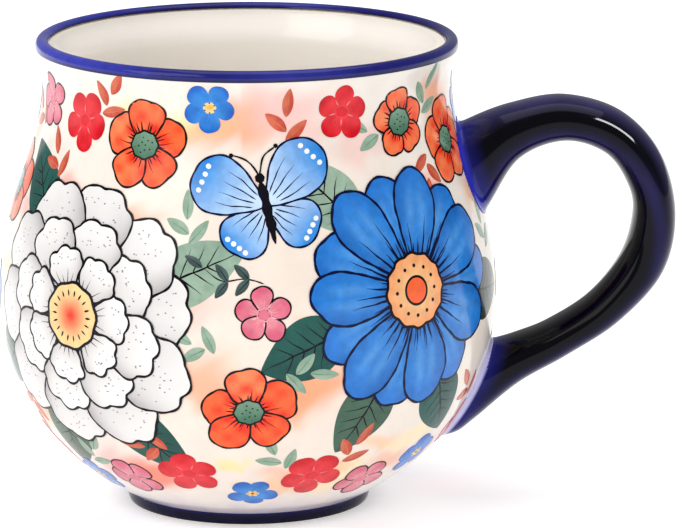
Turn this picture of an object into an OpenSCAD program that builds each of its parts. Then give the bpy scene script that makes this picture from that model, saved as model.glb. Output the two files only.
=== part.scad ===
// Round-bellied stoneware mug with a strap handle: clay, slip joints and glaze coats as separate solids.
// The mug stands on Z = 0 with its axis on Z, and the handle lies towards +X.
// Every outer size below is that of the finished, glazed mug.

/* [Body] */
// Greatest diameter of the belly
belly_d = 100; // [96:1:104]
// Height of the belly's widest line above the table
belly_z = 43.6; // [42:0.2:45]
// Overall height
height = 95; // [92:0.5:98]
// Outer diameter of the neck
neck_d = 81.8; // [78:0.2:86]
// Outer diameter of the flared lip
lip_d = 84.6; // [84:0.2:88]
// Thickness of the wall round the belly
wall_t = 4; // [3.6:0.1:4.4]
// Thickness of the lip
lip_t = 2.7; // [2.4:0.1:3]
// Height of the inner floor above the table
floor_z = 7.2; // [6.8:0.1:8]

/* [Foot] */
// Diameter of the foot at its top edge
foot_d = 49.4; // [47:0.2:52]
// Height of the foot's cobalt band
foot_h = 2.7; // [2.4:0.1:3]
// Diameter of the recess turned under the floor
recess_d = 38.6; // [36:0.2:40]
// Depth of that recess
recess_h = 2; // [1.8:0.1:2.2]

/* [Handle] */
// How far the handle stands out beyond the belly
handle_reach = 36.2; // [34:0.2:38]
// Width of the strap, across the mug
handle_w = 15; // [13:0.5:17]

/* [Joints and glaze] */
// Thickness of every glaze coat
glaze_t = 0.4; // [0.3:0.05:0.5]
// Height of a slip collar above the glazed wall
collar_h = 1.6; // [1.4:0.1:1.8]

/* [Hidden] */
$fn = 120;

belly_r = belly_d / 2;
neck_r = neck_d / 2;
lip_r = lip_d / 2;
foot_r = foot_d / 2;
recess_r = recess_d / 2;
top_k = height / 95;      // how much taller than the standard mug it is
neck_z = 87 * top_k;
lip_z = height - 1.3;     // where the lip is widest and begins to turn over
arc_n = 16;               // straight steps in each curve of the belly
lip_n = 6;                // straight steps in each curve of the lip
cobalt_from = 5;          // step of the lip's curve at which the cobalt rim begins

// A slip collar: its centre's distance from the mug's axis and height, its tilt below level,
// its half height and its half width
upper_collar = [belly_r - 4.8, 68.2 * top_k, -17, 10.9, handle_w / 2 + 3.2];
lower_collar = [belly_r - 4.9, 23.4 * top_k, 28, 12.2, handle_w / 2 + 3.2];
collar_sides = 40;

// The handle's guide stations, from the upper end to the lower one, both ends buried in the wall.
// Each is the outer edge beyond the belly and its height, the inner edge likewise, and the
// strap's spread over its normal width at the ends.
handle_stations = [
    [-13.0, 74.0, -6.6, 53.4, 2.6],
    [-5.8, 77.9, -1.4, 60.8, 1.6],
    [2.6, 81.1, 4.6, 70.2, 0.5],
    [13.6, 82.9, 13.6, 73.8, 0],
    [25.0, 79.6, 22.0, 71.2, 0],
    [33.0, 71.2, 26.6, 64.4, 0],
    [36.2, 59.0, 27.4, 58.2, 0],
    [33.8, 47.0, 25.0, 50.0, 0],
    [25.2, 37.0, 18.8, 42.0, 0],
    [14.8, 30.0, 10.6, 36.5, 0.2],
    [4.8, 24.2, 4.0, 33.8, 0.6],
    [-4.2, 16.6, -1.6, 32.2, 1.2],
    [-8.4, 13.6, -4.6, 31.0, 1.4],
    [-14.0, 12.8, -8.6, 29.6, 1.6]
];
strap_steps = 4;          // rings between one station and the next
strap_sides = 20;         // sides of the strap's oval section
strap_power = 0.86;       // below 1 squares the oval section a little

// Cubic curve from a to d with control points b and c
function curve(a, b, c, d, n) = [
    for (i = [0:n])
        let (t = i / n, u = 1 - t) u * u * u * a + 3 * u * u * t * b + 3 * u * t * t * c + t * t * t * d
];
function tail(path) = [for (i = [1:len(path) - 1]) path[i]];
function flipped(path) = [for (i = [len(path) - 1:-1:0]) path[i]];
function slice(path, first, last) = [for (i = [first:last]) path[i]];

// Moves a path sideways by d, to the right of its direction of travel
function shifted(path, d) = [
    for (i = [0:len(path) - 1])
        let (
            a = path[max(i - 1, 0)],
            b = path[min(i + 1, len(path) - 1)],
            t = (b - a) / norm(b - a)
        ) path[i] + d * [t[1], -t[0]]
];

// Half of the wall as radius and height, for a given inset from the outer sizes: floor to lip
function wall_side(start, low_pull, inset, lip_in) = concat(
    curve(start, start + low_pull, [belly_r - inset, belly_z - 22.9], [belly_r - inset, belly_z], arc_n),
    tail(curve(
        [belly_r - inset, belly_z], [belly_r - inset, belly_z + 19],
        [neck_r - inset * 0.85, neck_z - 15], [neck_r - inset * 0.85, neck_z], arc_n
    )),
    tail(curve(
        [neck_r - inset * 0.85, neck_z], [neck_r - inset * 0.85, neck_z + 3],
        [lip_r - lip_in, lip_z - 2], [lip_r - lip_in, lip_z], lip_n
    ))
);

foot_side = [[foot_r - 0.5, 0.5], [foot_r - 0.1, foot_h - 0.5]];
outer_side = wall_side([foot_r, foot_h], [10.7, 5.8], 0, 0);
inner_side = wall_side([12, floor_z], [22, 0], wall_t, lip_t);
lip_top = [
    for (a = [30:30:150]) [lip_r - lip_t / 2 + lip_t / 2 * cos(a), lip_z + (height - lip_z) * sin(a)]
];

// The whole glazed surface, from the foot up over the lip and down to the middle of the floor
skin = concat(foot_side, outer_side, lip_top, flipped(inner_side), [[0, floor_z]]);
clay = shifted(skin, -glaze_t);
i_foot = len(foot_side);
i_rim = i_foot + 2 * arc_n + cobalt_from;
i_lining = i_foot + len(outer_side) + len(lip_top);

// The glazed underside, from the middle out to the recess's edge
under_skin = [
    [0, recess_h], [recess_r - 1.4, recess_h], [recess_r - 0.4, recess_h - 0.4], [recess_r, recess_h - 1.4]
];
under_clay = shifted(under_skin, -glaze_t);
rest_ring = [[recess_r + 1.2, 0], [foot_r - 1.8, 0]];

function coat(first, last) = concat(slice(skin, first, last), flipped(slice(clay, first, last)));

// Half sections, closed on the axis, of the glazed mug grown outwards by d
function filled(d) = concat(
    [[0, 0]], shifted(slice(skin, 0, i_foot + len(outer_side) - 1), d), [[0, lip_z]]
);

// A smooth run through the guide stations
function between(p, q, r, s, t) =
    0.5 * (2 * q + (r - p) * t + (2 * p - 5 * q + 4 * r - s) * t * t + (3 * q - p - 3 * r + s) * t * t * t);
last_station = len(handle_stations) - 1;
strap_rows = concat(
    [
        for (i = [0:last_station - 1], k = [0:strap_steps - 1])
            between(
                handle_stations[max(i - 1, 0)], handle_stations[i], handle_stations[i + 1],
                handle_stations[min(i + 2, last_station)], k / strap_steps
            )
    ],
    [handle_stations[last_station]]
);
reach_k = handle_reach / 36.2;

// One ring of the strap, grown by d: an oval between the outer and the inner edge
function strap_ring(row, d) =
    let (
        outer_edge = [belly_r + row[0] * reach_k, row[1] * top_k],
        inner_edge = [belly_r + row[2] * reach_k, row[3] * top_k],
        middle = (outer_edge + inner_edge) / 2,
        half = (outer_edge - inner_edge) / 2,
        across = half * (1 + d / norm(half)),
        half_w = handle_w / 2 + row[4] + d
    ) [
        for (i = [0:strap_sides - 1])
            let (
                a = 360 * i / strap_sides,
                u = sign(cos(a)) * pow(abs(cos(a)), strap_power),
                v = sign(sin(a)) * pow(abs(sin(a)), strap_power)
            ) [middle[0] + across[0] * u, half_w * v, middle[1] + across[1] * u]
    ];

// The solid strap, grown by d, running into the wall at both ends
module strap(d) {
    rings = len(strap_rows);
    n = strap_sides;
    points = [for (row = strap_rows) each strap_ring(row, d)];
    sides = [
        for (i = [0:rings - 2], j = [0:n - 1])
            let (a = i * n + j, b = i * n + (j + 1) % n)
                each [[a, b, b + n], [a, b + n, a + n]]
    ];
    upper_end = [for (j = [0:n - 1]) n - 1 - j];
    lower_end = [for (j = [0:n - 1]) (rings - 1) * n + j];
    polyhedron(points, concat(sides, [upper_end, lower_end]));
}

module turned(section) {
    rotate_extrude() polygon(section);
}

// The elliptical plug that a collar is cut from, standing square to the wall
module collar_plug(place) {
    outline = [
        for (i = [0:collar_sides - 1])
            let (a = 360 * i / collar_sides) [place[3] * cos(a), place[4] * sin(a)]
    ];
    translate([place[0], 0, place[1]])
        rotate([0, 90 + place[2], 0])
            linear_extrude(height = 4 * wall_t, center = true)
                polygon(outline);
}

module slip_collar(place) {
    color("lavender") intersection() {
        difference() {
            turned(filled(collar_h));
            turned(filled(-glaze_t));
        }
        collar_plug(place);
    }
}

module stoneware_body() {
    color("wheat") turned(concat(under_clay, rest_ring, clay));
}

module handle_core() {
    color("tan") difference() {
        strap(-glaze_t);
        turned(filled(collar_h));
    }
}

module upper_slip_joint() {
    slip_collar(upper_collar);
}

module lower_slip_joint() {
    slip_collar(lower_collar);
}

module interior_glaze() {
    color("ivory") turned(coat(i_lining, len(skin) - 1));
}

module exterior_glaze() {
    color("linen") difference() {
        turned(coat(i_foot, i_rim));
        collar_plug(upper_collar);
        collar_plug(lower_collar);
    }
}

module rim_band() {
    color("mediumblue") turned(coat(i_rim, i_lining));
}

module foot_band() {
    color("midnightblue") turned(coat(0, i_foot));
}

// Joins its children into one closed mesh of the same size
module as_one_mesh() {
    resize([0, 0, 0]) union() children();
}

module handle_glaze() {
    color("#14122a") as_one_mesh() difference() {
        strap(0);
        strap(-glaze_t);
        turned(filled(collar_h));
    }
}

module underside_glaze() {
    color("ivory") turned(concat(under_skin, flipped(under_clay)));
}

stoneware_body();
handle_core();
upper_slip_joint();
lower_slip_joint();
interior_glaze();
exterior_glaze();
rim_band();
foot_band();
handle_glaze();
underside_glaze();
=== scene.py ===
"""A round-bellied stoneware mug: painted flowers and a butterfly under a clear glaze."""
import math
import random

import bpy
import numpy as np
from mathutils import Matrix, Vector
from mathutils.geometry import delaunay_2d_cdt


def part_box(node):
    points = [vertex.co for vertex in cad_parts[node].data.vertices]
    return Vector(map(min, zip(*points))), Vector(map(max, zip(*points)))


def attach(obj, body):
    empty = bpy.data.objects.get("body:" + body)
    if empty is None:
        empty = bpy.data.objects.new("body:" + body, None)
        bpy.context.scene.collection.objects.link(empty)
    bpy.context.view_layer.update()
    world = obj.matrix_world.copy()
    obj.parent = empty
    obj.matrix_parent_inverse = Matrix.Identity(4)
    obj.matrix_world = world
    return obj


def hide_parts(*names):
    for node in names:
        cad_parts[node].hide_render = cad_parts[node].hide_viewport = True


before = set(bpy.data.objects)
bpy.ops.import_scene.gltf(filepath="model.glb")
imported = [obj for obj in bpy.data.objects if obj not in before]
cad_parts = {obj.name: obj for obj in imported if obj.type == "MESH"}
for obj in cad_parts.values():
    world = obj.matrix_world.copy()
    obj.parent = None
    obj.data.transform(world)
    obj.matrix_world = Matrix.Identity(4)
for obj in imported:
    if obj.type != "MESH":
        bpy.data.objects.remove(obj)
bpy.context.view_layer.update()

random.seed(7)

# ---- sizes, in millimetres
MM = 0.001
belly_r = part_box("exterior_glaze")[1].x / MM
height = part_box("rim_band")[1].z / MM
lip_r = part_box("rim_band")[1].x / MM
foot_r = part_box("foot_band")[1].x / MM
handle_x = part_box("handle_glaze")[1].x / MM
handle_half_w = 7.5
belly_z = 43.6
neck_r = 40.9
neck_z = 87.0
lip_z = height - 1.3
foot_h = 2.7
floor_z = 7.2
wall_t = 4.0
lip_t = 2.7
recess_r = 19.3
recess_h = 2.0
glaze_t = 0.4
half_round = math.pi * belly_r

# ---- the wall's curves


def cubic(a, b, c, d, steps):
    """Points of a cubic curve, without its start."""
    points = []
    for i in range(1, steps + 1):
        t = i / steps
        w = ((1 - t) ** 3, 3 * (1 - t) ** 2 * t, 3 * (1 - t) * t * t, t ** 3)
        points.append(tuple(w[0] * a[k] + w[1] * b[k] + w[2] * c[k] + w[3] * d[k] for k in (0, 1)))
    return points


def wall_side(start, pull, inset, lip_in, steps=60):
    """Half of the wall as (radius, height), from its lower end up to the lip."""
    belly = (belly_r - inset, belly_z)
    neck = (neck_r - inset * 0.85, neck_z)
    lip = (lip_r - lip_in, lip_z)
    path = [start]
    path += cubic(start, (start[0] + pull[0], start[1] + pull[1]), (belly[0], belly_z - 22.9), belly, steps)
    path += cubic(belly, (belly[0], belly_z + 19), (neck[0], neck_z - 15), neck, steps)
    path += cubic(neck, (neck[0], neck_z + 3), (lip[0], lip_z - 2), lip, steps // 4)
    return path


def arc(centre, radii, first, last, steps):
    """Points of an elliptic arc in degrees, without its start."""
    turn = [math.radians(first + (last - first) * i / steps) for i in range(1, steps + 1)]
    return [(centre[0] + radii[0] * math.cos(a), centre[1] + radii[1] * math.sin(a)) for a in turn]


def shifted(path, d):
    """The path moved sideways by d, to the right of its direction of travel."""
    moved = []
    for i, p in enumerate(path):
        a = path[max(i - 1, 0)]
        b = path[min(i + 1, len(path) - 1)]
        size = math.dist(a, b)
        moved.append((p[0] + d * (b[1] - a[1]) / size, p[1] - d * (b[0] - a[0]) / size))
    return moved


outer_side = wall_side((foot_r, foot_h), (10.7, 5.8), 0, 0)
inner_side = wall_side((12, floor_z), (22, 0), wall_t, lip_t)
lip_top = arc((lip_r - lip_t / 2, lip_z), (lip_t / 2, height - lip_z), 0, 180, 14)[:-1]

# Length along the outer wall from the foot, with the radius, height and normal there
wall_rows = []
for i, here in enumerate(outer_side):
    before = outer_side[max(i - 1, 0)]
    after = outer_side[min(i + 1, len(outer_side) - 1)]
    size = math.dist(before, after)
    run = wall_rows[-1][0] + math.dist(outer_side[i - 1], here) if i else 0.0
    wall_rows.append((run, *here, (after[1] - before[1]) / size, (before[0] - after[0]) / size))


def looked_up(rows, key, column=0):
    """The row of a table at a key, between its rows, by halving."""
    low, high = 0, len(rows) - 1
    key = min(max(key, rows[0][column]), rows[-1][column])
    while high - low > 1:
        middle = (low + high) // 2
        if rows[middle][column] > key:
            high = middle
        else:
            low = middle
    span = rows[high][column] - rows[low][column]
    t = (key - rows[low][column]) / span if span else 0
    return [p + (q - p) * t for p, q in zip(rows[low], rows[high])]


def wall_radius(z):
    return looked_up(wall_rows, z, 2)[1]


def radius_at(s):
    return looked_up(wall_rows, s)[1]


def on_wall(a, s, lift):
    """The point and normal at a mm round the belly from the front and s mm up the wall."""
    _, r, z, out, up = looked_up(wall_rows, s)
    turn = a / belly_r
    across = (math.sin(turn), -math.cos(turn))
    point = (across[0] * (r + out * lift), across[1] * (r + out * lift), z + up * lift)
    return point, (across[0] * out, across[1] * out, up)


# ---- colour and materials


def linear(red, green, blue):
    """A screen colour of 0 to 255 as linear light."""
    scaled = [c / 255 for c in (red, green, blue)]
    return tuple(c / 12.92 if c <= 0.04045 else ((c + 0.055) / 1.055) ** 2.4 for c in scaled)


def mixed(a, b, t):
    t = min(max(t, 0), 1)
    return tuple(p + (q - p) * t for p, q in zip(a, b))


film_mm = 2.5              # grain of the glaze's change of gloss
wave_mm = 9                # length of the soft waves in its surface
wave_depth_mm = 0.4


def noise(material, size_mm, detail):
    """A noise texture over the object, its grain of a real size."""
    nodes = material.node_tree.nodes
    where = nodes.new("ShaderNodeTexCoord")
    grain = nodes.new("ShaderNodeTexNoise")
    grain.inputs["Scale"].default_value = 1 / (size_mm * MM)
    grain.inputs["Detail"].default_value = detail
    material.node_tree.links.new(where.outputs["Object"], grain.inputs["Vector"])
    return grain.outputs["Fac"]


def two_tones(material, tones, grain):
    """Two tones blended by the grain."""
    ramp = material.node_tree.nodes.new("ShaderNodeValToRGB")
    for element, place, tone in zip(ramp.color_ramp.elements, (0.35, 0.65), tones):
        element.position = place
        element.color = (*tone, 1)
    material.node_tree.links.new(grain, ramp.inputs["Fac"])
    return ramp.outputs["Color"]


def mottled_paint(material, mottle, grain):
    """The colour painted on the mesh, darker and lighter by the grain."""
    nodes, links = material.node_tree.nodes, material.node_tree.links
    paint = nodes.new("ShaderNodeVertexColor")
    paint.layer_name = "paint"
    shade = nodes.new("ShaderNodeMapRange")
    shade.inputs["From Min"].default_value = 0.3
    shade.inputs["From Max"].default_value = 0.7
    shade.inputs["To Min"].default_value = 1 - mottle
    shade.inputs["To Max"].default_value = 1 + mottle * 0.5
    links.new(grain, shade.inputs["Value"])
    blend = nodes.new("ShaderNodeVectorMath")
    blend.operation = "SCALE"
    links.new(paint.outputs["Color"], blend.inputs[0])
    links.new(shade.outputs["Result"], blend.inputs["Scale"])
    return blend.outputs["Vector"]


def glaze(name, mottle, grain_mm, rough, bump, specular=0.5, fixed=None, tones=None):
    """Glossy glaze: one fixed colour, two tones blended by noise, or the painted colour mottled by it."""
    material = bpy.data.materials.new(name)
    material.use_nodes = True
    nodes, links = material.node_tree.nodes, material.node_tree.links
    shader = nodes["Principled BSDF"]
    shader.inputs["Specular IOR Level"].default_value = specular
    if fixed:
        shader.inputs["Base Color"].default_value = (*fixed, 1)
    elif tones:
        links.new(two_tones(material, tones, noise(material, grain_mm, 5)), shader.inputs["Base Color"])
    else:
        links.new(mottled_paint(material, mottle, noise(material, grain_mm, 5)), shader.inputs["Base Color"])

    gloss = nodes.new("ShaderNodeMapRange")
    gloss.inputs["To Min"].default_value = rough * 0.7
    gloss.inputs["To Max"].default_value = rough * 1.3
    links.new(noise(material, film_mm, 3), gloss.inputs["Value"])
    links.new(gloss.outputs["Result"], shader.inputs["Roughness"])

    relief = nodes.new("ShaderNodeBump")
    relief.inputs["Strength"].default_value = bump
    relief.inputs["Distance"].default_value = wave_depth_mm * MM
    links.new(noise(material, wave_mm, 2), relief.inputs["Height"])
    links.new(relief.outputs["Normal"], shader.inputs["Normal"])
    return material


cream_glaze = glaze("cream_glaze", 0.03, 14, 0.12, 0.10)
wash_glaze = glaze("wash_glaze", 0.05, 5, 0.12, 0.10)
cobalt_glaze = glaze("cobalt_glaze", 0.2, 2.2, 0.10, 0.12, specular=0.3)
dark_glaze = glaze("dark_cobalt_glaze", 0.25, 6, 0.07, 0.08, specular=0.14)
slip_glaze = glaze("slip_glaze", 0.10, 3, 0.14, 0.15, specular=0.3)
clay_tones = (linear(206, 190, 166), linear(228, 216, 196))
bare_clay = glaze("bare_clay", 0, 0.8, 0.85, 0.30, specular=0.2, tones=clay_tones)

# ---- making pieces


def add_piece(name, points, faces, material, paint, normals=None):
    """A mesh piece from points in millimetres, with a painted colour at each point."""
    mesh = bpy.data.meshes.new(name)
    mesh.from_pydata([[c * MM for c in p] for p in points], [], faces)
    colours = mesh.color_attributes.new("paint", "FLOAT_COLOR", "POINT")
    flat = []
    for colour in paint:
        flat += [*colour, 1.0]
    colours.data.foreach_set("color", flat)
    mesh.polygons.foreach_set("use_smooth", [True] * len(mesh.polygons))
    mesh.materials.append(material)
    mesh.update()
    if normals:
        mesh.normals_split_custom_set_from_vertices(normals)
    else:
        mesh.set_sharp_from_angle(angle=math.radians(45))
    piece = bpy.data.objects.new(name, mesh)
    bpy.context.scene.collection.objects.link(piece)
    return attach(piece, "root")


def turned(name, section, sides, material, colour_at):
    """A closed section of (radius, height) turned round the mug's axis."""
    points = []
    paint = []
    rows = len(section)
    for i in range(sides):
        turn = 2 * math.pi * i / sides
        for k, (r, z) in enumerate(section):
            points.append((r * math.sin(turn), -r * math.cos(turn), z))
            paint.append(colour_at(k, turn, r, z))
    faces = []
    for i in range(sides):
        for k in range(rows):
            a, b = i * rows, (i + 1) % sides * rows
            n = (k + 1) % rows
            faces.append((a + k, b + k, b + n, a + n))
    return add_piece(name, points, faces, material, paint)


def coat(path):
    """The closed section of a glaze coat whose outer face is the path."""
    return path + shifted(path, -glaze_t)[::-1]


cream = linear(231, 225, 217)
lining = linear(247, 241, 233)
cobalt = linear(20, 20, 100)
cobalt_pale = linear(58, 64, 176)
cobalt_dark = linear(12, 8, 48)
night = linear(4, 3, 8)
cobalt_foot = linear(10, 8, 40)
# Violet grey for the painted reflection along the handle's outer edge
cobalt_painted_sheen = linear(42, 38, 78)
cobalt_band = linear(26, 22, 66)
cobalt_near = linear(32, 34, 132)

# Watercolour washes under the flowers: place, spread round and up the wall, colour, strength
peach = linear(246, 184, 128)
apricot = linear(246, 140, 72)
amber = linear(242, 88, 34)
straw = linear(250, 222, 150)
rose = linear(238, 178, 172)
lilac = linear(196, 188, 206)
garden_from = -78          # mm round the belly from the front to where the painted garden begins
garden_width = 157
golden_share = 0.618       # spreads the washes evenly along the garden
wash_count = 46
wash_tones = (peach, apricot, straw, rose, apricot, amber)
wash_random = random.Random(11)
washes = [(0, 55, 70, 46, peach, 0.16)]
for k in range(wash_count):
    a = garden_from + garden_width * ((k * golden_share) % 1)
    s = wash_random.uniform(10, 95)
    wide = wash_random.uniform(4, 11)
    tall = wash_random.uniform(2.5, 7)
    strength = wash_random.uniform(0.4, 0.85)
    washes.append((a, s, wide, tall, wash_tones[k % len(wash_tones)], strength))


def wash_at(a, s):
    """The ground colour of the painted wall."""
    a += 1.6 * math.sin(s / 3.1 + a / 7) + 0.8 * math.sin(s / 1.3 - a / 2.2)
    s += 1.2 * math.sin(a / 3.7 + s / 6) + 0.5 * math.sin(a / 1.1 - s / 2.3)
    colour = mixed(cream, lilac, (9 - s) / 9 * 0.75)
    for spot_a, spot_s, wide, tall, tone, strength in washes:
        x = ((a - spot_a + half_round / 2) % half_round - half_round / 2) / wide
        y = (s - spot_s) / tall
        away = x * x + y * y
        if away < 2:
            colour = mixed(colour, tone, strength * math.exp(-away * away * 1.2))
    return colour


outer_runs = [row[0] for row in wall_rows]


def exterior_colour(k, turn, r, z):
    if k >= len(outer_runs):
        return cream
    return wash_at(turn * belly_r, outer_runs[k])


exterior = turned("exterior_skin", coat(outer_side), 360, wash_glaze, exterior_colour)
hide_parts("exterior_glaze")

lining_path = inner_side[::-1] + [(6.0, floor_z), (0.01, floor_z)]
interior = turned("interior_skin", coat(lining_path), 240, cream_glaze, lambda k, turn, r, z: lining)
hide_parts("interior_glaze")

# Cobalt over the lip, a little prouder than the coats that it covers
rim_proud = 0.06
rim_low = 2.3
rim_inside = 1.3
rim_outer = [p for p in outer_side if p[1] > height - rim_low]
rim_inner = [p for p in inner_side[::-1] if p[1] > height - rim_inside]
rim_path = shifted(rim_outer + lip_top + rim_inner, rim_proud)
rim_rows = len(rim_path)


def rim_colour(k, turn, r, z):
    place = min(k, 2 * rim_rows - 1 - k) / (rim_rows - 1)
    edge = max(0, 1 - min(place, 1 - place) / 0.14)
    pale = 0.5 + 0.5 * math.sin(3 * turn + 2 * math.sin(2 * turn))
    # Painted light: the band turns paler on the side that faces the left softbox
    left = max(0, math.cos(turn + 1.25)) ** 3
    middle = mixed(cobalt, cobalt_pale, pale * 0.35 + left * 0.5)
    return mixed(middle, cobalt_dark, edge)


rim_section = rim_path + shifted(rim_path, -glaze_t)[::-1]
rim = turned("rim_cobalt", rim_section, 240, cobalt_glaze, rim_colour)
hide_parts("rim_band")

foot_low = (foot_r - 0.4, 0.4)
foot_path = [foot_low] + cubic(foot_low, (foot_r - 0.1, 1.0), (foot_r, 1.8), (foot_r, foot_h), 8)


def foot_colour(k, turn, r, z):
    return mixed(cobalt_foot, cobalt_pale, (z - foot_h + 0.5) * 0.5)


foot = turned("foot_cobalt", coat(foot_path), 240, dark_glaze, foot_colour)
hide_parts("foot_band")

under_path = [
    (0.01, recess_h), (recess_r - 1.4, recess_h), (recess_r - 0.4, recess_h - 0.4), (recess_r, recess_h - 1.4)
]
underside = turned("underside_skin", coat(under_path), 120, cream_glaze, lambda k, turn, r, z: lining)
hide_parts("underside_glaze")

# ---- the handle
# Guide stations: outer edge beyond the belly and its height, inner edge likewise, extra half width
reach_k = (handle_x - belly_r) / 36.2
handle_stations = [
    (-13.0, 74.0, -6.6, 53.4, 2.6),
    (-5.8, 77.9, -1.4, 60.8, 1.6),
    (2.6, 81.1, 4.6, 70.2, 0.5),
    (13.6, 82.9, 13.6, 73.8, 0),
    (25.0, 79.6, 22.0, 71.2, 0),
    (33.0, 71.2, 26.6, 64.4, 0),
    (36.2, 59.0, 27.4, 58.2, 0),
    (33.8, 47.0, 25.0, 50.0, 0),
    (25.2, 37.0, 18.8, 42.0, 0),
    (14.8, 30.0, 10.6, 36.5, 0.2),
    (4.8, 24.2, 4.0, 33.8, 0.6),
    (-4.2, 16.6, -1.6, 32.2, 1.2),
    (-8.4, 13.6, -4.6, 31.0, 1.4),
    (-14.0, 12.8, -8.6, 29.6, 1.6),
]
strap_steps = 12
strap_sides = 56
strap_power = 0.86
buried = 1.6               # how deep in the wall the handle's ends stop


def between(p, q, r, s, t):
    """A smooth run from q to r, on the way from p to s."""
    bend = 2 * p - 5 * q + 4 * r - s
    twist = 3 * q - p - 3 * r + s
    return 0.5 * (2 * q + (r - p) * t + bend * t * t + twist * t ** 3)


def strap_rows():
    last = len(handle_stations) - 1
    rows = []
    for i in range(last):
        four = [handle_stations[max(i - 1, 0)], handle_stations[i], handle_stations[i + 1]]
        four.append(handle_stations[min(i + 2, last)])
        for step in range(strap_steps):
            rows.append([between(*c, step / strap_steps) for c in zip(*four)])
    return rows + [list(handle_stations[last])]


def oval(a):
    """The strap's section at angle a: towards its outer edge, and across the mug."""
    c, s = math.cos(a), math.sin(a)
    return math.copysign(abs(c) ** strap_power, c), math.copysign(abs(s) ** strap_power, s)


def strap_point(row, a):
    outer = (belly_r + row[0] * reach_k, row[1])
    inner = (belly_r + row[2] * reach_k, row[3])
    u, v = oval(a)
    x = (outer[0] + inner[0]) / 2 + (outer[0] - inner[0]) / 2 * u
    z = (outer[1] + inner[1]) / 2 + (outer[1] - inner[1]) / 2 * u
    return x, (handle_half_w + row[4]) * v, z


def wall_gap(p):
    """How far a point stands off the outer wall; below zero is inside it."""
    return math.hypot(p[0], p[1]) - wall_radius(p[2])


def handle_colour(share, a, p):
    """Near black, with a violet cobalt band that crosses from the inner edge to the outer one, and a painted
    sheen: a violet grey painted reflection of the light above along the outer edge, strongest on the upper
    arch.
    """
    u, _ = oval(a)
    cross = min(max((share - 0.3) / 0.25, 0), 1)
    band = math.exp(-((u - (1.3 * cross - 0.6)) / 0.34) ** 2)
    # Painted reflection: the outer edge turns violet grey, most of all on the upper arch, as if it caught the
    # light above
    painted_sheen = max(0, (u - 0.5) / 0.5) * (1 - 0.5 * cross)
    body = mixed(mixed(night, cobalt_band, band), cobalt_painted_sheen, painted_sheen)
    near = max(0, 1 - wall_gap(p) / 5)
    return mixed(body, cobalt_near, near ** 1.3)


def make_handle():
    rows = strap_rows()
    points = []
    paint = []
    for i, row in enumerate(rows):
        for j in range(strap_sides):
            a = 2 * math.pi * j / strap_sides
            p = strap_point(row, a)
            paint.append(handle_colour(i / len(rows), a, p))
            sunk = wall_gap(p) + buried
            if sunk < 0:
                r = math.hypot(p[0], p[1])
                p = (p[0] * (r - sunk) / r, p[1] * (r - sunk) / r, p[2])
            points.append(p)
    n = strap_sides
    faces = []
    for i in range(len(rows) - 1):
        for j in range(n):
            a, b = i * n + j, i * n + (j + 1) % n
            faces.append((a, a + n, b + n, b))
    faces.append(tuple(range(n)))
    faces.append(tuple(len(points) - 1 - j for j in range(n)))
    return add_piece("handle_skin", points, faces, dark_glaze, paint)


handle = make_handle()
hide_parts("handle_glaze", "handle_core")


def wall_spot(p):
    """Where a point's foot lies on the wall: mm round the belly, and mm up the wall."""
    return math.atan2(p[0], -p[1]) * belly_r, looked_up(wall_rows, p[2], 2)[0]


def crossing(rows, a, gap):
    """Where the strap's side at angle a comes to stand that far off the wall, from the wall out."""
    before = strap_point(rows[0], a)
    for row in rows[1:]:
        after = strap_point(row, a)
        low, high = wall_gap(before), wall_gap(after)
        if low <= gap < high:
            t = (gap - low) / (high - low)
            return tuple(p + (q - p) * t for p, q in zip(before, after))
        before = after
    return before


collar_rise = 1.5          # how far up the handle a slip fillet climbs
collar_steps = 8
tiny = 1e-6                # keeps a division from one by zero


def make_collar(name, rows, spread, tone_at, facing):
    """The concave fillet of slip between the handle's end and the wall, narrow at its lower tip."""
    feet = []
    heads = []
    for j in range(strap_sides):
        a = 2 * math.pi * j / strap_sides
        feet.append(crossing(rows, a, 0.0))
        heads.append(crossing(rows, a, collar_rise))
    middle = [sum(c) / strap_sides for c in zip(*heads)]
    spots = [wall_spot(p) for p in feet]
    centre = [sum(c) / strap_sides for c in zip(*spots)]
    points = []
    paint = []
    for j in range(strap_sides):
        before, here, after = spots[j - 1], spots[j], spots[(j + 1) % strap_sides]
        k = radius_at(here[1]) / belly_r
        out = ((after[1] - before[1]), -(after[0] - before[0]) * k)
        if out[0] * (here[0] - centre[0]) * k + out[1] * (here[1] - centre[1]) < 0:
            out = (-out[0], -out[1])
        size = max(math.hypot(*out), tiny)
        reach = spread * (1 - 0.7 * max(0, -out[1] / size) ** 2)
        a = here[0] + out[0] / size * reach / k
        s = here[1] + out[1] / size * reach
        edge, _ = on_wall(a, s, 0.22)
        under, _ = on_wall(a, s, -0.3)
        away = max(math.dist(heads[j], middle), tiny)
        head = tuple(p + (p - q) / away * 0.04 for p, q in zip(heads[j], middle))
        foot, _ = on_wall(*here, 0.12)
        for i in range(collar_steps + 1):
            t = i / collar_steps
            bend = zip(head, foot, edge)
            points.append(tuple((1 - t) ** 2 * p + 2 * (1 - t) * t * q + t * t * r for p, q, r in bend))
            paint.append(tone_at(t))
        points += [under, on_wall(*here, -1.0)[0]]
        paint += [tone_at(1), tone_at(0)]
    rows_n = collar_steps + 3
    faces = []
    for j in range(strap_sides):
        a, b = j * rows_n, (j + 1) % strap_sides * rows_n
        for k in range(rows_n):
            n = (k + 1) % rows_n
            faces.append((a + k, a + n, b + n, b + k)[::facing])
    piece = add_piece(name, points, faces, slip_glaze, paint)
    return piece


# Pale slip of the lower joint, painted lavender: painted shade with a blue tint from the handle beside it
pale_slip_and_shade = linear(186, 184, 224)
slip_edge = linear(212, 206, 226)
cobalt_bled = linear(40, 46, 176)


def upper_tone(t):
    return mixed(linear(26, 26, 108), cobalt_bled, t * 1.6)


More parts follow.
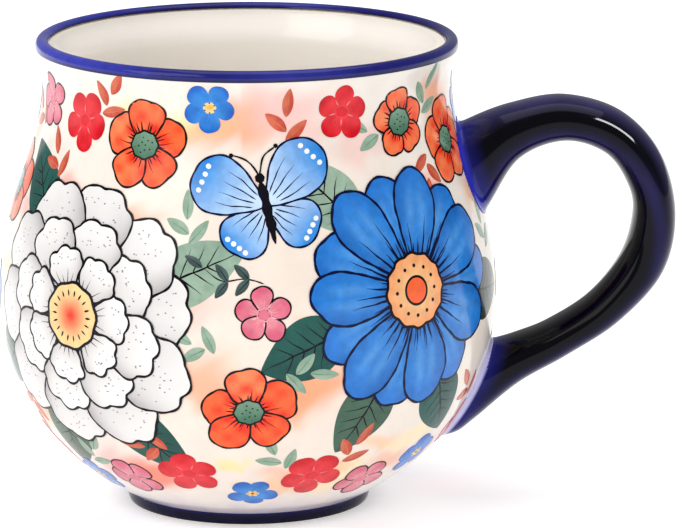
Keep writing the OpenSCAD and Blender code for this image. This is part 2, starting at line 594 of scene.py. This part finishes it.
# Dark cobalt at the handle, then the pale slip in painted bluish shade, lighter towards its outer edge
def lower_tone(t):
    return mixed(mixed(linear(34, 34, 120), pale_slip_and_shade, t * 8 - 0.4), slip_edge, (t - 0.5) * 2)


handle_rows = strap_rows()
half_way = len(handle_rows) // 2
upper_collar = make_collar("upper_slip_fillet", handle_rows[:half_way], 1.5, upper_tone, -1)
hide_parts("upper_slip_joint")
lower_collar = make_collar("lower_slip_fillet", handle_rows[:half_way:-1], 2.5, lower_tone, 1)
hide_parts("lower_slip_joint")

body_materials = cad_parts["stoneware_body"].data.materials
body_materials.clear()
body_materials.append(bare_clay)

# ---- drawing on the wall
paint_low = -0.03          # how far the underside of a painted shape sinks into the glaze
paint_lift = 0.02          # how far the lowest painted shape stands proud
level_step = 0.006         # how much higher each later shape lies
edge_step = 0.5            # spacing of points along an outline
fill_step = 0.95           # spacing of points inside a shape
dot_sides = 7


def resampled(path, spacing, closed=False):
    """The path with points about evenly spaced along it."""
    ring = path + [path[0]] if closed else path
    runs = [0.0]
    for p, q in zip(ring, ring[1:]):
        runs.append(runs[-1] + math.dist(p, q))
    count = max(3, round(runs[-1] / spacing))
    points = []
    k = 0
    for i in range(count if closed else count + 1):
        run = runs[-1] * i / count
        while k < len(runs) - 2 and runs[k + 1] < run:
            k += 1
        t = (run - runs[k]) / max(runs[k + 1] - runs[k], 1e-9)
        points.append(tuple(p + (q - p) * t for p, q in zip(ring[k], ring[k + 1])))
    return points


def smooth(guide, steps=8):
    """A smooth path through a few guide points."""
    last = len(guide) - 1
    path = []
    for i in range(last):
        four = (guide[max(i - 1, 0)], guide[i], guide[i + 1], guide[min(i + 2, last)])
        path += [tuple(between(*c, k / steps) for c in zip(*four)) for k in range(steps)]
    return path + [guide[last]]


def grid_inside(outline, spacing, clear):
    """Staggered points inside a closed outline, clear of its edge."""
    ring = np.array(outline)
    low, high = ring.min(0), ring.max(0)
    rows = np.arange(low[1] + spacing / 2, high[1], spacing * 0.866)
    columns = np.arange(low[0] + spacing / 2, high[0], spacing)
    u, v = np.meshgrid(columns, rows)
    u = u + (np.arange(len(rows))[:, None] % 2) * spacing / 2
    u, v = u.ravel(), v.ravel()
    inside = np.zeros(len(u), bool)
    near = np.full(len(u), 1e9)
    for p, q in zip(ring, np.roll(ring, -1, 0)):
        if p[1] != q[1]:
            crosses = (p[1] > v) != (q[1] > v)
            inside ^= crosses & (u < (q[0] - p[0]) * (v - p[1]) / (q[1] - p[1]) + p[0])
        near = np.minimum(near, np.hypot(u - p[0], v - p[1]))
    keep = inside & (near > clear)
    return [(float(x), float(y)) for x, y in zip(u[keep], v[keep])]


class Place:
    """A spot on the wall and a turn: takes a drawing's own millimetres to the wall."""

    def __init__(self, a, s, turn=0):
        self.a, self.s = a, s
        self.c = math.cos(math.radians(turn))
        self.d = math.sin(math.radians(turn))

    def turned(self, turn):
        return Place(self.a, self.s, turn)

    def __call__(self, u, v):
        s = self.s + u * self.d + v * self.c
        return self.a + (u * self.c - v * self.d) * belly_r / radius_at(s), s


class Layer:
    """The mesh of one named part of a drawing, as it grows."""

    def __init__(self):
        self.points, self.faces, self.paint, self.normals = [], [], [], []

    def add(self, point, normal, colour):
        self.points.append(point)
        self.normals.append(normal)
        self.paint.append(colour)
        return len(self.points) - 1


class Drawing:
    """Shapes painted on the wall, each a little above the one before, gathered into named pieces."""

    def __init__(self, name):
        self.name = name
        self.layers = {}

    def move_to(self, place, level):
        self.place, self.level = place, level

    def layer(self, part):
        return self.layers.setdefault(part, Layer())

    def lift(self, raised=0.0):
        return paint_lift + (self.level + raised) * level_step

    def fill(self, outline, colour, part="petals"):
        """A closed shape; its colour is fixed, or worked out at each point."""
        self.level += 1
        ring = resampled(outline, edge_step, closed=True)
        extra = grid_inside(ring, fill_step, 0.45)
        edges = [(i, (i + 1) % len(ring)) for i in range(len(ring))]
        found = delaunay_2d_cdt([Vector(p) for p in ring + extra], edges, [], 1, 1e-4)
        spots, triangles = found[0], found[2]
        layer = self.layer(part)
        top, low = [], []
        for spot in spots:
            shade = colour(spot.x, spot.y) if callable(colour) else colour
            a, s = self.place(spot.x, spot.y)
            top.append(layer.add(*on_wall(a, s, self.lift()), shade))
            low.append(layer.add(*on_wall(a, s, paint_low), shade))
        used = {}
        for face in triangles:
            p, q, r = (spots[k] for k in face)
            if (q.x - p.x) * (r.y - p.y) - (q.y - p.y) * (r.x - p.x) < 0:
                face = face[::-1]
            layer.faces.append([top[k] for k in face])
            layer.faces.append([low[k] for k in face[::-1]])
            for k in range(3):
                used[(face[k], face[(k + 1) % 3])] = True
        for p, q in used:
            if (q, p) not in used:
                layer.faces.append([top[q], top[p], low[p], low[q]])

    def stroke(self, path, width, colour, part="ink", ends=(0.12, 0.12), raised=0.5, wobble=0.05):
        """A line that tapers at its ends, as a brush or a pen leaves it."""
        path = resampled(path, 0.45)
        count = len(path) - 1
        phase = random.uniform(0, 6.28)
        layer = self.layer(part)
        rings = []
        for i, (u, v) in enumerate(path):
            before, after = path[max(i - 1, 0)], path[min(i + 1, count)]
            size = max(math.dist(before, after), 1e-9)
            side = ((before[1] - after[1]) / size, (after[0] - before[0]) / size)
            t = i / count
            thin = min(1, (t / max(ends[0], 1e-6)) ** 0.7, ((1 - t) / max(ends[1], 1e-6)) ** 0.7)
            half = width / 2 * max(thin, 0.12) * (1 + 0.16 * math.sin(i * 0.9 + phase))
            sway = wobble * math.sin(i * 0.55 + 2 * phase)
            ring = []
            for reach, lift in ((half, self.lift(raised)), (-half, self.lift(raised)), (0, paint_low)):
                spot = (u + side[0] * (sway + reach), v + side[1] * (sway + reach))
                shade = colour(*spot) if callable(colour) else colour
                ring.append(layer.add(*on_wall(*self.place(*spot), lift), shade))
            rings.append(ring)
        for a, b in zip(rings, rings[1:]):
            for k in range(3):
                n = (k + 1) % 3
                layer.faces.append([a[k], a[n], b[n], b[k]])
        layer.faces.append(rings[0][::-1])
        layer.faces.append(rings[-1])

    def outline(self, ring, width, colour, part="ink", **how):
        self.stroke(ring + [ring[0], ring[1]], width, colour, part, ends=(0.02, 0.02), **how)

    def dot(self, u, v, size, colour, part="ink", slim=1.0, raised=0.5):
        """A small speck, its height slim times its width."""
        self.level += raised
        layer = self.layer(part)
        ring = []
        for k in range(dot_sides):
            turn = 2 * math.pi * k / dot_sides
            spot = (u + size / 2 * math.cos(turn), v + size / 2 * slim * math.sin(turn))
            ring.append(spot)
        tops = [layer.add(*on_wall(*self.place(*p), self.lift()), colour) for p in ring]
        lows = [layer.add(*on_wall(*self.place(*p), paint_low), colour) for p in ring]
        layer.faces.append(tops)
        layer.faces.append(lows[::-1])
        for k in range(dot_sides):
            n = (k + 1) % dot_sides
            layer.faces.append([tops[k], lows[k], lows[n], tops[n]])
        self.level -= raised

    def finish(self):
        for part, layer in self.layers.items():
            material = paint_materials.get(part, wash_glaze)
            title = f"{self.name}_{part}"
            piece = add_piece(title, layer.points, layer.faces, material, layer.paint, layer.normals)


class Petal:
    """A petal or leaf: widest at a share of its length, with a blunt or pointed tip."""

    def __init__(self, root, angle, length, width, widest=0.6, blunt=0.6, bend=0.0, ruffle=0.0, lobes=5):
        self.root, self.length, self.width = root, length, width
        self.p = math.log(0.5) / math.log(widest)
        self.blunt, self.bend, self.ruffle, self.lobes = blunt, bend, ruffle, lobes
        self.along = (math.cos(math.radians(angle)), math.sin(math.radians(angle)))
        self.phase = random.uniform(-0.15, 0.15)

    def at(self, t, side):
        """The point at a share t of the length, side from -1 on one edge to 1 on the other."""
        half = self.width / 2 * max(math.sin(math.pi * t ** self.p), 0) ** self.blunt
        x = self.length * t
        y = half * side + self.bend * self.length * t * t
        c, d = self.along
        return self.root[0] + x * c - y * d, self.root[1] + x * d + y * c

    def share(self, u, v):
        """The share of the length, and how far to the side, of a point."""
        c, d = self.along
        x, y = u - self.root[0], v - self.root[1]
        t = min(max((x * c + y * d) / self.length, 0), 1)
        return t, 2 * ((y * c - x * d) - self.bend * self.length * t * t) / self.width

    def ring(self, steps=26):
        """The closed outline, scalloped towards the tip."""
        points = []
        for i in range(2 * steps):
            turn = i / (2 * steps)
            t = (1 - math.cos(2 * math.pi * turn)) / 2
            x, y = self.at(t, -1 if turn < 0.5 else 1)
            if self.ruffle:
                weight = math.sin(math.pi * turn) ** 3
                scallop = abs(math.sin(self.lobes * math.pi * (turn + self.phase))) - 0.6
                push = self.ruffle * weight * scallop
                mx, my = self.at(0.55, 0)
                size = max(math.dist((x, y), (mx, my)), 1e-6)
                x, y = x + (x - mx) / size * push, y + (y - my) / size * push
            points.append((x, y))
        return points


def oval_ring(u, v, ru, rv, turn=0.0, bumps=0.0, lobes=9, steps=40):
    c, d = math.cos(math.radians(turn)), math.sin(math.radians(turn))
    ring = []
    for i in range(steps):
        a = 2 * math.pi * i / steps
        k = 1 + bumps * math.sin(lobes * a + 1)
        x, y = ru * k * math.cos(a), rv * k * math.sin(a)
        ring.append((u + x * c - y * d, v + x * d + y * c))
    return ring


# ---- paint colours
ink = linear(14, 12, 18)
navy = linear(8, 14, 52)
white = linear(238, 236, 233)
petal_shade = linear(162, 157, 158)
grey_speck = linear(128, 122, 138)
orange = linear(232, 46, 20)
orange_pale = linear(242, 98, 50)
red = linear(204, 6, 26)
red_deep = linear(160, 8, 20)
red_pale = linear(232, 56, 66)
pink = linear(210, 92, 120)
pink_pale = linear(232, 150, 160)
blue = linear(18, 100, 192)
blue_pale = linear(58, 144, 220)
blue_deep = linear(12, 62, 152)
sky_blue = linear(116, 182, 238)
gold = linear(238, 202, 142)
gold_warm = linear(240, 150, 98)
gold_deep = linear(245, 178, 74)
moss = linear(62, 108, 84)
moss_pale = linear(110, 146, 122)
leaf_teal = linear(20, 82, 74)
leaf_grey = linear(66, 98, 80)
leaf_dark = linear(16, 28, 30)
leaf_pale = linear(148, 172, 152)
slate = linear(74, 94, 92)
rust = linear(186, 66, 44)
rust_pale = linear(222, 128, 96)
leaf_night = linear(44, 58, 54)

petal_white = glaze("paint_white", 0.03, 4, 0.12, 0.10)
paint_soft = glaze("paint_soft", 0.16, 2.0, 0.12, 0.10, specular=0.26)
paint_ink = glaze("paint_ink", 0.15, 1.5, 0.14, 0.10, specular=0.15, fixed=ink)
paint_navy = glaze("paint_navy", 0.15, 1.5, 0.14, 0.10, specular=0.15, fixed=navy)
paint_specks = glaze("paint_specks", 0.15, 1.5, 0.14, 0.10, specular=0.3, fixed=grey_speck)
paint_materials = {"ink": paint_ink, "lines": paint_navy, "petals": paint_soft, "heart": paint_soft,
                   "leaves": paint_soft, "veins": paint_ink, "white_petals": petal_white,
                   "specks": paint_specks}

# ---- motifs
golden_angle = 137.5       # spreads dots evenly over a round heart


def shaded_petal(draw, petal, near, far, tip=None, streaks=0, streak=None, streak_part="petals",
                 line=None, width=0.3, line_part="ink", rim=0.0, gleam=None, blotch=0.3):
    """One painted petal: its colour runs from the root to the tip, then its lines."""
    phase = random.uniform(0, 6.28)

    def colour(u, v):
        t, side = petal.share(u, v)
        pool = blotch * math.sin(u * 1.1 + phase) * math.sin(v * 1.3 - phase)
        tone = mixed(near, far, (t * 2.2 if streaks > 2 else t * 1.15) + pool)
        if gleam:
            bright = math.exp(-((t - 0.64) / 0.2) ** 2 - ((abs(side) - 0.28) / 0.2) ** 2)
            tone = mixed(tone, gleam, 0.35 * bright)
        if tip:
            tone = mixed(tone, tip, (t - 0.75) * 2 + abs(side) * 0.3 - 0.1)
        return mixed(tone, near, max(0, side) * 0.25 + rim * abs(side) ** 4)
    draw.fill(petal.ring(), colour)
    for k in range(streaks):
        side = (k + 0.5) / streaks * 1.5 - 0.75 + random.uniform(-0.1, 0.1)
        reach = random.uniform(0.35, 0.72)
        path = [petal.at(t, side * (0.75 + 0.25 * t)) for t in (0.06, reach * 0.4, reach * 0.7, reach)]
        draw.stroke(smooth(path, 4), width * 0.9, streak, streak_part, ends=(0.05, 0.6), raised=0.35)
    if line:
        draw.outline(petal.ring(), width, line, line_part)


def spread(count, first=0.0):
    """Directions of petals round a flower, every second one first so that the others overlap them."""
    return [first + 360 * k / count for k in list(range(0, count, 2)) + list(range(1, count, 2))]


def spoke(angle, start, end):
    """A short straight path outwards from the middle of a flower."""
    turn = math.radians(angle)
    return [(r * math.cos(turn), r * math.sin(turn)) for r in (start, end)]


def daisy(draw, place, level, petals=14, reach=24):
    """The big blue flower: even petals round a gold heart with a ring of dots."""
    draw.move_to(place, level)
    near, far = mixed(navy, blue_deep, 0.6), mixed(blue_pale, blue, 0.55)
    for angle in spread(petals):
        length = reach + random.uniform(-1, 1)
        width = length * random.uniform(0.44, 0.52)
        petal = Petal((0, 0), angle + random.uniform(-3, 3), length, width, 0.72, 0.5, 0, 0.9, 3)
        shaded_petal(draw, petal, near, far, tip=blue, streaks=3, streak=navy, streak_part="lines",
                     line=navy, width=0.52, line_part="lines", rim=0.2, gleam=sky_blue)
    draw.level += 1
    hairs = 42
    for k in range(hairs):
        path = spoke(k * 360 / hairs, 6.0, random.uniform(9, 12.5))
        draw.stroke(path, random.uniform(0.3, 0.5), navy, "lines", ends=(0.02, 0.8))

    def heart_tone(u, v):
        return mixed(gold, gold_warm, math.hypot(u, v) / 8)
    draw.fill(oval_ring(0, 0, 7.6, 7.6, 0, 0.04, 12), ink, "ink")
    draw.fill(oval_ring(0, 0, 7.0, 7.0, 0, 0.04, 12), heart_tone, "heart")
    draw.fill(oval_ring(0, 0, 3.0, 3.0), ink, "ink")
    draw.fill(oval_ring(0, 0, 2.5, 2.5), orange_pale, "heart")
    for angle in range(0, 360, 30):
        draw.dot(*spoke(angle, 4.9, 4.9)[0], 0.8, ink)


def poppy(draw, place, level, reach, petals=5):
    """An orange flower with a dark outline and a green heart."""
    draw.move_to(place, level)
    for k in range(petals):
        angle = 360 * (k * 2 % petals) / petals + 22 + random.uniform(-6, 6)
        width = reach * random.uniform(0.86, 1.04)
        petal = Petal((0, 0), angle, reach * random.uniform(0.95, 1.12), width, 0.66, 0.46, 0, 0.5, 4)
        far = mixed(orange_pale, peach, random.uniform(0, 0.4))
        shaded_petal(draw, petal, orange, far, streaks=2, streak=red_deep, line=ink, width=0.42, rim=0.3,
                     blotch=0.6)
    draw.level += 1
    hairs = 22
    for k in range(hairs):
        angle = k * 360 / hairs + random.uniform(-5, 5)
        draw.stroke(spoke(angle, 2.4, random.uniform(3.7, 4.8)), 0.3, ink, ends=(0.05, 0.5))

    def heart_tone(u, v):
        return mixed(moss, moss_pale, 0.5 + 0.25 * v)
    draw.fill(oval_ring(0, 0, 3.1, 2.9, 0, 0.05, 8), ink, "ink")
    draw.fill(oval_ring(0, 0, 2.7, 2.5, 0, 0.05, 8), heart_tone, "heart")
    for k in range(9):
        r = 0.55 * math.sqrt(k) + 0.2
        draw.dot(*spoke(k * golden_angle, r, r)[0], 0.42, ink, slim=0.8)


def blossom(draw, place, level, reach, tone, pale, deep, line=None, heart="streaks", petals=5):
    """A small flower with round petals."""
    draw.move_to(place, level)
    start = random.uniform(0, 72)
    for k in range(petals):
        angle = start + 360 * (k * 2 % petals) / petals + random.uniform(-5, 5)
        width = reach * random.uniform(0.72, 0.84)
        petal = Petal((0, 0), angle, reach * random.uniform(0.92, 1.05), width, 0.64, 0.5, 0, 0.25, 2)
        shaded_petal(draw, petal, pale, tone, line=line, width=0.34, tip=mixed(tone, deep, 0.8))
        for side in (-0.35, 0.3):
            path = [petal.at(t, side * t) for t in (0.12, 0.35, 0.55)]
            draw.stroke(path, 0.3, mixed(tone, pale, 0.75), "petals", ends=(0.1, 0.5), raised=0.4)
    draw.level += 1
    if heart == "streaks":
        draw.fill(oval_ring(0, 0, reach * 0.2, reach * 0.18, 0, 0.08, 5), mixed(tone, pale, 0.3), "heart")
        draw.outline(oval_ring(0, 0, reach * 0.26, reach * 0.22, 0, 0.08, 5), 0.28, pale, "heart")
        for k in range(5):
            path = spoke(start + 36 + 72 * k, reach * 0.25, reach * 0.5)
            draw.stroke(path, 0.32, mixed(pale, white, 0.2), "heart", ends=(0.1, 0.6))
    if heart == "gold":
        draw.fill(oval_ring(0, 0, reach * 0.24, reach * 0.22, 0, 0.1, 6), gold, "heart")
        draw.fill(oval_ring(0.1, 0.1, reach * 0.14, reach * 0.12), gold_deep, "heart")
        draw.dot(0, 0, reach * 0.12, ink)
        for k in range(6):
            angle = math.radians(30 + 60 * k)
            draw.dot(reach * 0.2 * math.cos(angle), reach * 0.18 * math.sin(angle), 0.3, ink)


def leaf(draw, root, tip, width, tone, deep, veins=0):
    """A leaf from its root to its tip, with a midrib and side veins if it is a large one."""
    angle = math.degrees(math.atan2(tip[1] - root[1], tip[0] - root[0]))
    petal = Petal(root, angle, math.dist(root, tip), width, widest=0.45, blunt=0.8, bend=0.06)

    def colour(u, v):
        t, side = petal.share(u, v)
        half = 0.45 * math.copysign(1, side) * min(1, abs(side) * 6) * 0.5
        return mixed(tone, deep, 0.25 + half + 0.3 * (t - 0.5))
    draw.fill(petal.ring(), colour, "leaves")
    if veins:
        draw.stroke([petal.at(t / 10, 0) for t in range(11)], 0.42, ink, "veins", ends=(0.05, 0.5))
        for k in range(veins):
            t = 0.14 + 0.62 * k / veins
            for side in (-1, 1):
                path = [petal.at(t, 0), petal.at(t + 0.09, 0.42 * side), petal.at(t + 0.15, 0.8 * side)]
                draw.stroke(smooth(path, 4), 0.26, ink, "veins", ends=(0.05, 0.6))
    elif width > 1.5:
        rib = [petal.at(t / 6, 0) for t in range(6)]
        draw.stroke(rib, 0.2, mixed(deep, ink, 0.2), "leaves", ends=(0.1, 0.7))


def leaves(draw, place, level, turn, tone, deep):
    """Three loose leaves, turned round one place."""
    draw.move_to(place.turned(turn), level)
    for u, v, angle, length, width in leaf_trio:
        c = math.cos(math.radians(angle)) * length / 2
        d = math.sin(math.radians(angle)) * length / 2
        leaf(draw, (u - c, v - d), (u + c, v + d), width, tone, deep)
        draw.level -= 0.8


def sprig(draw, place, level, stem, pairs, size, tone, deep):
    """A thin stem with pairs of small leaves and one at its end."""
    draw.move_to(place, level)
    path = smooth(stem, 8)
    draw.stroke(path, 0.28, deep, "leaves", ends=(0.05, 0.3))
    for k in range(pairs):
        place_on = int(len(path) * (0.25 + 0.62 * k / pairs))
        spot = path[place_on]
        ahead = path[min(place_on + 3, len(path) - 1)]
        angle = math.degrees(math.atan2(ahead[1] - spot[1], ahead[0] - spot[0]))
        for side in (-1, 1):
            turn = math.radians(angle + side * random.uniform(42, 62))
            tip = (spot[0] + size * math.cos(turn), spot[1] + size * math.sin(turn))
            leaf(draw, spot, tip, size * 0.44, tone, deep)
    angle = math.atan2(path[-1][1] - path[-4][1], path[-1][0] - path[-4][0])
    tip = (path[-1][0] + size * math.cos(angle), path[-1][1] + size * math.sin(angle))
    leaf(draw, path[-1], tip, size * 0.42, tone, deep)


# The white flower's rings of petals from the outer one in: count, first direction, distance of
# the roots from the middle, length, width, scallop depth and shade
white_rings = [
    (10, 8, 6, 21.5, 16.5, 1.0, 0.4),
    (8, 30, 5, 15, 13, 1.0, 0.2),
    (7, 4, 4, 9.5, 9.5, 0.9, 0.0),
]


def peony(draw, place, level):
    """The big white flower: three even rings of scalloped petals round a warm heart."""
    draw.move_to(place, level)
    draw.fill(oval_ring(0, 0, 18, 18), petal_shade, "white_petals")
    rows = [(ring, k) for ring in white_rings for k in range(ring[0])]
    for (count, first, root, length, width, depth, dark), k in rows:
        angle = first + 360 * k / count + random.uniform(-3, 3)
        length *= random.uniform(0.94, 1.06)
        petal = Petal(spoke(angle, root, root)[0], angle, length, width, 0.66, 0.5, 0, depth, 8)

        def colour(u, v, petal=petal, dark=dark):
            t, side = petal.share(u, v)
            return mixed(white, petal_shade, (1 - t) ** 1.6 + dark * 0.5 + 0.6 * max(0, -side) ** 3)
        draw.fill(petal.ring(40), colour, "white_petals")
        draw.outline(petal.ring(40), 0.5, ink, wobble=0.1)
        for side in (-0.5, -0.15, 0.2, 0.55):
            reach = random.uniform(0.3, 0.55)
            path = [petal.at(0.1, side * 0.8), petal.at(reach * 0.6, side), petal.at(reach, side * 1.1)]
            draw.stroke(smooth(path, 4), 0.3, ink, ends=(0.02, 0.75))
        for k in range(int(width)):
            u, v = petal.at(random.uniform(0.6, 0.88), random.uniform(-0.7, 0.7))
            draw.dot(u, v, random.uniform(0.3, 0.5), grey_speck, "specks", 0.7)
        draw.level += 1
    draw.level += 1

    def heart_tone(u, v):
        return mixed(orange, gold, math.hypot(u, v) / 4.4 - 0.1)
    draw.fill(oval_ring(0, 0, 6.8, 6.8, 0, 0.03, 9), ink, "ink")
    draw.fill(oval_ring(0, 0, 6.2, 6.2, 0, 0.03, 9), heart_tone, "heart")
    for angle in range(0, 360, 20):
        draw.stroke(spoke(angle, 3.8, 5.2), 0.42, ink, ends=(0.2, 0.4))


def butterfly(draw, place, level, turn=12):
    """A small blue butterfly seen from above, the same on both sides of its body."""
    draw.move_to(place.turned(turn), level)
    lower, upper = (11.5, 9.5), (15.5, 11.5)
    for angle, size in ((-40, lower), (220, lower), (36, upper), (144, upper)):
        wing = Petal((0, 0), angle, *size, 0.66, 0.5, 0, 0.4, 3)
        shaded_petal(draw, wing, linear(206, 226, 246), blue_pale, tip=blue, line=navy, width=0.4,
                     line_part="lines", blotch=0.0)
        for side in (-0.6, -0.2, 0.2, 0.6):
            path = [wing.at(t, side) for t in (0.15, 0.4, 0.62)]
            draw.stroke(path, 0.26, navy, "lines", ends=(0.1, 0.6), raised=0.3)
            draw.dot(*wing.at(0.85, side * 0.9), 1.1, white, "petals")
    draw.level += 1
    draw.stroke(smooth([(0, -7.5), (0, -2), (0, 5)], 6), 1.8, ink, ends=(0.3, 0.1))
    draw.dot(0, 5.6, 2.0, ink)
    for side in (-1, 1):
        draw.stroke(smooth([(0, 6), (1.6 * side, 9.4), (4.4 * side, 11)], 6), 0.34, ink, ends=(0.02, 0.1))
        draw.dot(4.4 * side, 11, 0.9, ink)


# ---- the painted garden
# Places are mm round the belly from the front, and mm up the wall
white_at = (-37, 53)
blue_at = (37, 58)
butterfly_at = (5, 77)
teal_deep = linear(16, 64, 60)
grey_deep = linear(54, 86, 70)
grey_cool = linear(48, 86, 68)
pale_deep = linear(122, 150, 132)
night_deep = linear(76, 84, 84)
pink_deep = linear(214, 84, 110)

# Large leaves under the big flowers: the flower, the leaf's direction and two tones
leaf_root = 17
leaf_width = 12.5
large_leaves = [
    (white_at, -62, leaf_teal, teal_deep), (white_at, -108, leaf_grey, grey_cool),
    (white_at, 22, leaf_pale, pale_deep), (white_at, 124, leaf_teal, teal_deep),
    (white_at, 206, leaf_grey, grey_deep), (blue_at, 246, leaf_grey, grey_deep),
    (blue_at, 292, leaf_teal, teal_deep), (blue_at, 200, leaf_teal, teal_deep),
    (blue_at, 128, leaf_pale, pale_deep), (blue_at, 350, leaf_night, night_deep),
]
leaf_lengths = {white_at: 22, blue_at: 19}

# Three loose leaves, each by its middle, direction, length and width; then where such trios lie,
# each with its turn
leaf_trio = [(-2, 0.3, 105, 5.5, 2.4), (2, 2.4, 50, 6, 2.2), (0.5, -3.4, 10, 6, 2.2)]
rust_trios = [
    (-34, 97, 0), (-52, 83, 60), (48, 79, 200), (10, 94, 30), (-23, 26, 120), (26, 26, 10),
    (-60, 28, 200), (60, 34, 80), (-68, 90, 90),
]
green_trios = [
    (-12, 74, 40), (13, 44, 300), (-10, 50, 100), (52, 96, 10), (31, 90, 100), (-41, 22, 0),
    (7, 25, 60), (67, 66, 30), (80, 40, 90), (-76, 36, 250),
]

# Thin stems with pairs of leaves: place, guide points and pairs
sprigs = [(66, 74, [(0, 0), (3, 3), (4, 7), (7, 10)], 3), (-2, 62, [(6, 0), (2, 1), (-2, 0.5), (-6, 3)], 2)]

# Small flowers: place and reach
red_spots = [(-43, 91, 6.2), (24, 94.5, 5.6), (-68, 17, 7), (-14, 19, 6.4), (17, 18, 6.6), (68, 24, 6.6)]
pink_spots = [(-59, 93, 5.6), (4, 56, 5.6), (-32, 15, 6), (34, 14, 6)]
blue_spots = [(-8, 96, 5.2), (76, 91, 5.4), (-76, 52, 5.4), (-50, 12, 5.6), (2, 12, 5.2), (51, 19, 5.6)]
poppy_spots = [(-24, 88, 8.4), (60, 85, 8.4), (1, 36, 9.2), (41, 91, 6.4), (-72, 74, 8.2)]

# Levels that each kind of motif starts from
loose_level = 4
small_level = 7
big_level = 16


def paint_garden(side, shift):
    """Every motif of one side, shifted round the mug."""
    def painted(name, motif, level, spots, **look):
        draw = Drawing(f"{name}_{side}")
        for a, s, *rest in spots:
            motif(draw, Place(a + shift, s), level, *rest, **look)
        return draw

    large = Drawing(f"large_leaves_{side}")
    for k, (middle, angle, tone, deep) in enumerate(large_leaves):
        large.move_to(Place(middle[0] + shift, middle[1]), k % 3)
        root, tip = spoke(angle, leaf_root, leaf_root + leaf_lengths[middle])
        leaf(large, root, tip, leaf_width, tone, deep, veins=5)
    large.finish()
    painted("rust_leaves", leaves, loose_level, rust_trios, tone=rust, deep=rust_pale).finish()
    green = painted("green_leaves", leaves, loose_level, green_trios, tone=leaf_pale, deep=moss_pale)
    for a, s, stem, pairs in sprigs:
        sprig(green, Place(a + shift, s), loose_level, stem, pairs, 4.2, slate, leaf_dark)
    green.finish()
    painted("red_blossoms", blossom, small_level, red_spots, tone=red, pale=red_pale, deep=red_deep).finish()
    painted("pink_blossoms", blossom, small_level, pink_spots, tone=pink, pale=pink_pale, deep=pink_deep,
            line=ink).finish()
    painted("blue_blossoms", blossom, small_level, blue_spots, tone=blue, pale=blue_pale, deep=blue_deep,
            heart="gold").finish()
    painted("poppies", poppy, small_level, poppy_spots).finish()
    painted("butterfly", butterfly, small_level, [butterfly_at]).finish()
    painted("peony", peony, big_level, [white_at]).finish()
    painted("daisy", daisy, big_level, [blue_at]).finish()


paint_garden("front", 0)
paint_garden("back", half_round)

# ---- camera, floor and light
sensor_mm = 36
focal_mm = 274
camera_at = Vector((0.0185, -1.0198, 0.2694))
look_at = Vector((0.0185, 0, 0.0482))

lens = bpy.data.cameras.new("camera")
lens.sensor_width = sensor_mm
lens.lens = focal_mm
lens.clip_end = 20
camera = bpy.data.objects.new("camera", lens)
camera.location = camera_at
camera.rotation_euler = (look_at - camera_at).to_track_quat("-Z", "Y").to_euler()
bpy.context.scene.collection.objects.link(camera)
bpy.context.scene.camera = camera


def softbox(name, place, target, size, power, along=(1, 0, 0)):
    """A rectangular light that faces the target, its length lying along a direction."""
    light = bpy.data.lights.new(name, "AREA")
    light.shape = "RECTANGLE"
    light.size, light.size_y = size
    light.energy = power
    box = bpy.data.objects.new(name, light)
    box.location = place
    back = (Vector(place) - Vector(target)).normalized()
    side = (Vector(along) - back * back.dot(Vector(along))).normalized()
    box.rotation_euler = Matrix((side, back.cross(side), back)).transposed().to_euler()
    bpy.context.scene.collection.objects.link(box)
    return box


softbox("softbox_left", (-0.85, -0.8, 0.7), (0, 0, 0.05), (0.9, 0.9), 5.2)
softbox("softbox_top", (0.1, 0.1, 1.2), (0, 0, 0.05), (1.0, 1.0), 4.4)
# Seen only as the gleam on the handle's arch
gleam = softbox("strip_right", (0.62, -0.5, 0.72), (0.077, 0, 0.078), (0.5, 0.22), 20, (0.36, 0.045, -0.265))
gleam.visible_diffuse = False
gleam_on = bpy.data.collections.new("gleam_on")
gleam_on.objects.link(handle)
gleam.light_linking.receiver_collection = gleam_on

room_light = 0.86
room_reflected = 0.3
room_seen = 1.0
world = bpy.data.worlds.new("studio")
world.use_nodes = True
sky = world.node_tree.nodes["Background"]
sky.inputs["Color"].default_value = (1, 1, 1, 1)
# Reflections see a dimmer room than the eye does, as with black cards beside the glazed ware
room = world.node_tree.nodes.new("ShaderNodeLightPath")
dimmed = world.node_tree.nodes.new("ShaderNodeMath")
dimmed.operation = "MULTIPLY_ADD"
dimmed.inputs[1].default_value = room_reflected - room_light
dimmed.inputs[2].default_value = room_light
world.node_tree.links.new(room.outputs["Is Glossy Ray"], dimmed.inputs[0])
seen = world.node_tree.nodes.new("ShaderNodeMath")
seen.operation = "MULTIPLY_ADD"
seen.inputs[1].default_value = room_seen - room_light
world.node_tree.links.new(room.outputs["Is Camera Ray"], seen.inputs[0])
world.node_tree.links.new(dimmed.outputs["Value"], seen.inputs[2])
world.node_tree.links.new(seen.outputs["Value"], sky.inputs["Strength"])
bpy.context.scene.world = world
bpy.context.scene.view_settings.view_transform = "Standard"

floor_mesh = bpy.data.meshes.new("floor")
floor_half = 6.0
corners = ((-1, -1), (1, -1), (1, 1), (-1, 1))
floor_mesh.from_pydata([(x * floor_half, y * floor_half, 0) for x, y in corners], [], [(0, 1, 2, 3)])
floor_paint = bpy.data.materials.new("floor")
floor_paint.use_nodes = True
floor_shader = floor_paint.node_tree.nodes["Principled BSDF"]
floor_shader.inputs["Base Color"].default_value = (0.9, 0.9, 0.9, 1)
floor_shader.inputs["Roughness"].default_value = 0.9
floor_shader.inputs["Specular IOR Level"].default_value = 0.0
floor_shader.inputs["Emission Color"].default_value = (1, 1, 1, 1)
floor_shader.inputs["Emission Strength"].default_value = 0.32
floor_mesh.materials.append(floor_paint)
floor = bpy.data.objects.new("floor", floor_mesh)
bpy.context.scene.collection.objects.link(floor)
